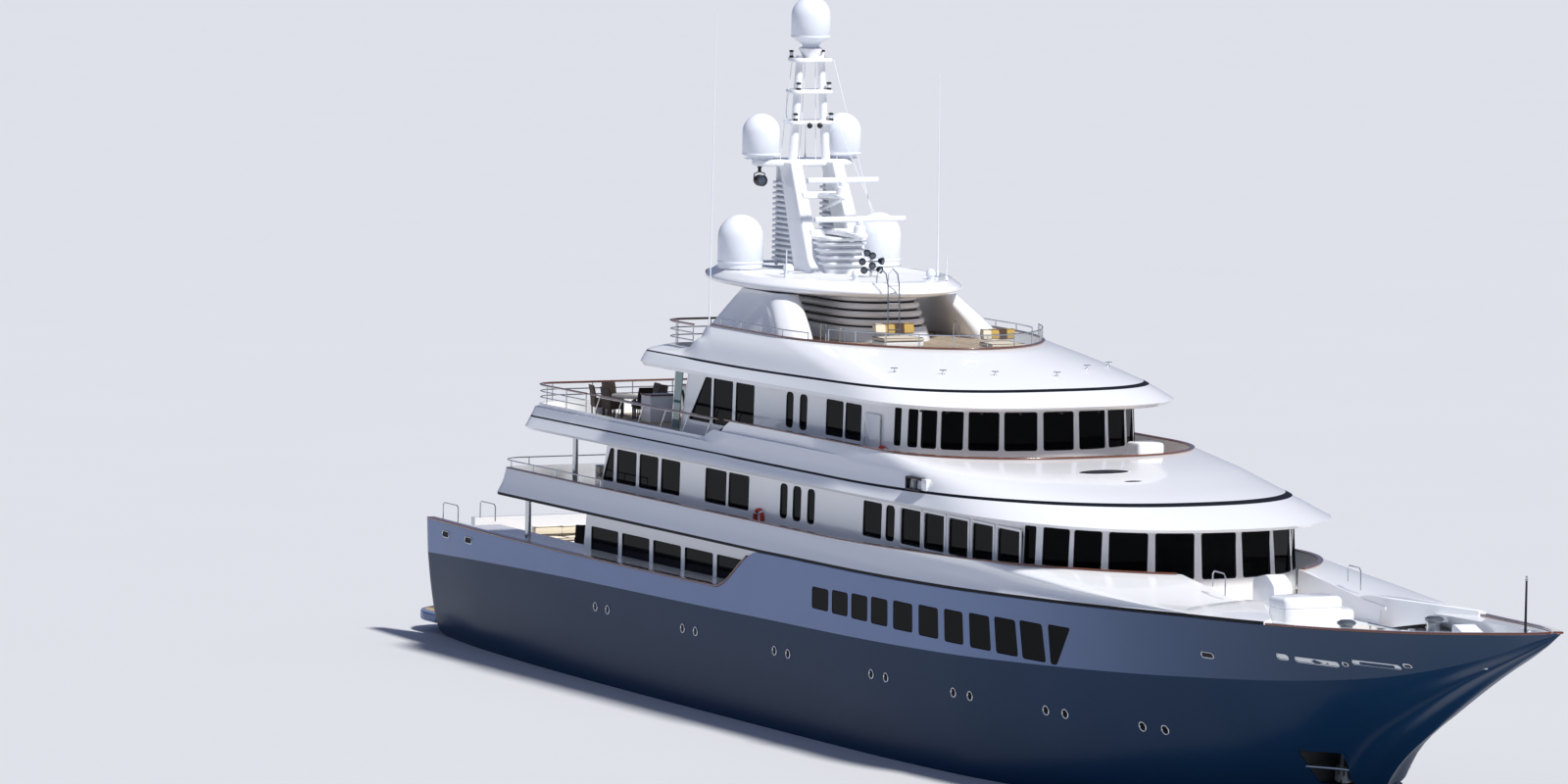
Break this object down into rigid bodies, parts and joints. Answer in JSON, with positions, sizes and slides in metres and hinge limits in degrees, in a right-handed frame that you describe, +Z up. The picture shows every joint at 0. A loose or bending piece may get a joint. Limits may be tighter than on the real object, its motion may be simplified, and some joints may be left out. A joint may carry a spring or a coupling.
{
  "type": "1:2 scale model of a four-deck motor yacht",
  "caption": "Motor yacht: blue hull, white decks with rounded fronts, hollow houses with dark windows, hardtop, mast with domes and turning radars, propellers, rudders and sliding doors.",
  "frame": {"origin": "on the waterline, at the middle of the length, on the centreline", "axes": "+X to the bow, +Y to port, +Z up"},
  "size_m": [35.8, 6.2, 14.1903],
  "materials": {
    "hull_paint": "gloss",
    "white_paint": "gloss",
    "dark_glass": "gloss",
    "teak": "satin",
    "steel": "satin",
    "bronze": "satin",
    "dome_plastic": "satin",
    "black_paint": "satin",
    "cushion": "matte"
  },
  "bodies": {
    "ship": {"hull": "hull_paint", "swim_platform": "teak", "shaft_port": "steel", "shaft_starboard": "steel", "anchor_port": "steel", "anchor_starboard": "steel", "main_house": "white_paint", "main_glass": "dark_glass", "upper_house": "white_paint", "upper_glass": "dark_glass", "bridge_house": "white_paint", "bridge_glass": "dark_glass", "upper_deck": "white_paint", "bridge_deck": "white_paint", "sun_deck": "white_paint", "sun_house": "white_paint", "arch_port": "white_paint", "arch_starboard": "white_paint", "hardtop": "white_paint", "big_dome_port": "dome_plastic", "big_dome_starboard": "dome_plastic", "mast_dome_port": "dome_plastic", "mast_dome_starboard": "dome_plastic", "top_dome": "dome_plastic", "mast": "white_paint", "foredeck_locker": "white_paint", "foredeck_hood": "white_paint", "windlass_port": "steel", "windlass_starboard": "steel", "jackstaff": "steel", "pillar_port": "steel", "pillar_starboard": "steel", "upper_pillar_port": "steel", "upper_pillar_starboard": "steel", "dining_table": "teak", "bar_cabinet": "white_paint", "sofa_main": "cushion", "sofa_upper": "cushion", "sun_pad": "cushion", "whip_port": "white_paint", "whip_starboard": "white_paint"},
    "propeller_port_body": {"propeller_port": "bronze"},
    "propeller_starboard_body": {"propeller_starboard": "bronze"},
    "rudder_port_body": {"rudder_port": "hull_paint"},
    "rudder_starboard_body": {"rudder_starboard": "hull_paint"},
    "stabiliser_port_body": {"stabiliser_port": "hull_paint"},
    "stabiliser_starboard_body": {"stabiliser_starboard": "hull_paint"},
    "garage_door_body": {"garage_door": "hull_paint"},
    "main_door_port_body": {"main_door_port": "dark_glass"},
    "main_door_starboard_body": {"main_door_starboard": "dark_glass"},
    "upper_door_port_body": {"upper_door_port": "dark_glass"},
    "upper_door_starboard_body": {"upper_door_starboard": "dark_glass"},
    "bridge_door_port_body": {"bridge_door_port": "dark_glass"},
    "bridge_door_starboard_body": {"bridge_door_starboard": "dark_glass"},
    "wheelhouse_door_port_body": {"wheelhouse_door_port": "white_paint"},
    "wheelhouse_door_starboard_body": {"wheelhouse_door_starboard": "white_paint"},
    "searchlight_body": {"searchlight": "black_paint"},
    "radar_upper_body": {"radar_scanner_upper": "white_paint"},
    "radar_lower_body": {"radar_scanner_lower": "white_paint"}
  },
  "joints": [
    {"name": "propeller_port_spin", "type": "hinge", "parent": "ship", "child": "propeller_port_body", "pos_m": [-13.8, 1.3, -1.275], "axis": [1, 0, 0], "continuous": true},
    {"name": "propeller_starboard_spin", "type": "hinge", "parent": "ship", "child": "propeller_starboard_body", "pos_m": [-13.8, -1.3, -1.275], "axis": [1, 0, 0], "continuous": true},
    {"name": "rudder_port_turn", "type": "hinge", "parent": "ship", "child": "rudder_port_body", "pos_m": [-15.15, 1.3, -1], "axis": [0, 0, 1], "range_deg": [-35, 35]},
    {"name": "rudder_starboard_turn", "type": "hinge", "parent": "ship", "child": "rudder_starboard_body", "pos_m": [-15.15, -1.3, -1], "axis": [0, 0, 1], "range_deg": [-35, 35]},
    {"name": "stabiliser_port_tilt", "type": "hinge", "parent": "ship", "child": "stabiliser_port_body", "pos_m": [-0.75, 2.575, -1.38], "axis": [0, -0.5646, 0.8253], "range_deg": [-25, 25]},
    {"name": "stabiliser_starboard_tilt", "type": "hinge", "parent": "ship", "child": "stabiliser_starboard_body", "pos_m": [-0.75, -2.575, -1.38], "axis": [0, 0.5646, 0.8253], "range_deg": [-25, 25]},
    {"name": "garage_door_lift", "type": "hinge", "parent": "ship", "child": "garage_door_body", "pos_m": [-16.6003, 0, 1.525], "axis": [0, 1, 0], "range_deg": [0, 80]},
    {"name": "main_door_port_slide", "type": "slide", "parent": "ship", "child": "main_door_port_body", "axis": [0, 1, 0], "range_m": [0, 0.675]},
    {"name": "main_door_starboard_slide", "type": "slide", "parent": "ship", "child": "main_door_starboard_body", "axis": [0, -1, 0], "range_m": [0, 0.675]},
    {"name": "upper_door_port_slide", "type": "slide", "parent": "ship", "child": "upper_door_port_body", "axis": [0, 1, 0], "range_m": [0, 0.675]},
    {"name": "upper_door_starboard_slide", "type": "slide", "parent": "ship", "child": "upper_door_starboard_body", "axis": [0, -1, 0], "range_m": [0, 0.675]},
    {"name": "bridge_door_port_slide", "type": "slide", "parent": "ship", "child": "bridge_door_port_body", "axis": [0, 1, 0], "range_m": [0, 0.675]},
    {"name": "bridge_door_starboard_slide", "type": "slide", "parent": "ship", "child": "bridge_door_starboard_body", "axis": [0, -1, 0], "range_m": [0, 0.675]},
    {"name": "wheelhouse_door_port_slide", "type": "slide", "parent": "ship", "child": "wheelhouse_door_port_body", "axis": [-1, 0, 0], "range_m": [0, 0.45]},
    {"name": "wheelhouse_door_starboard_slide", "type": "slide", "parent": "ship", "child": "wheelhouse_door_starboard_body", "axis": [-1, 0, 0], "range_m": [0, 0.45]},
    {"name": "searchlight_pan", "type": "hinge", "parent": "ship", "child": "searchlight_body", "pos_m": [-7.25, -0.85, 9.2], "axis": [0, 0, 1], "range_deg": [-170, 170]},
    {"name": "radar_upper_spin", "type": "hinge", "parent": "ship", "child": "radar_upper_body", "pos_m": [-5.725, 0, 9.035], "axis": [0, 0, 1], "continuous": true},
    {"name": "radar_lower_spin", "type": "hinge", "parent": "ship", "child": "radar_lower_body", "pos_m": [-5.05, 0, 8.4], "axis": [0, 0, 1], "continuous": true}
  ],
  "couplings": [
    {"joint": "rudder_starboard_turn", "follows": "rudder_port_turn", "ratio": 1},
    {"joint": "main_door_starboard_slide", "follows": "main_door_port_slide", "ratio": 1},
    {"joint": "upper_door_starboard_slide", "follows": "upper_door_port_slide", "ratio": 1},
    {"joint": "bridge_door_starboard_slide", "follows": "bridge_door_port_slide", "ratio": 1}
  ]
}
